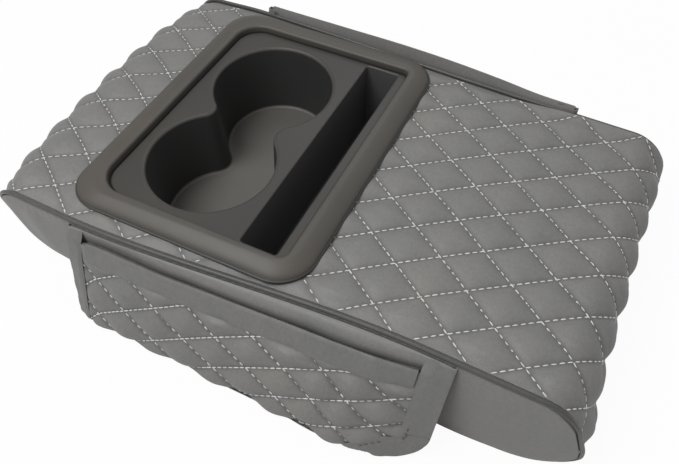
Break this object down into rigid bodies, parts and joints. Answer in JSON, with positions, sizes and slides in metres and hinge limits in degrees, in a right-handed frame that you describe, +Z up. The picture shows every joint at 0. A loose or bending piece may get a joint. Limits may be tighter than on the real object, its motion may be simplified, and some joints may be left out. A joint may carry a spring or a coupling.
{
  "type": "car centre armrest",
  "caption": "Quilted foam armrest pad for a car's centre console, with a moulded cup tray, a slot and a sewn pouch on each long side.",
  "frame": {"origin": "on the surface that the pad stands on, in the middle of its bounding box", "axes": "+X along the pad from the cup tray towards the plain end, +Y across it, +Z up"},
  "size_m": [0.3653, 0.2628, 0.074],
  "materials": {
    "foam": "open-cell polyurethane foam",
    "quilted_leather": "mid-grey artificial leather, diamond quilted with pale thread",
    "plain_leather": "mid-grey artificial leather, fine grain",
    "piping": "near-black covered cord",
    "base_cloth": "black cloth with rubber dots",
    "tray_plastic": "satin moulded plastic, fine texture",
    "binding": "folded artificial leather tape"
  },
  "bodies": {
    "root": {"foam_core": "foam", "quilted_cover": "quilted_leather", "front_side_panel": "plain_leather", "rear_side_panel": "plain_leather", "front_piping": "piping", "rear_piping": "piping", "base_panel": "base_cloth", "cup_tray": "tray_plastic", "front_pouch_back": "plain_leather", "front_pouch_face": "quilted_leather", "front_pouch_hem": "binding", "front_pouch_binding": "binding", "rear_pouch_back": "plain_leather", "rear_pouch_face": "quilted_leather", "rear_pouch_hem": "binding", "rear_pouch_binding": "binding"}
  },
  "joints": []
}
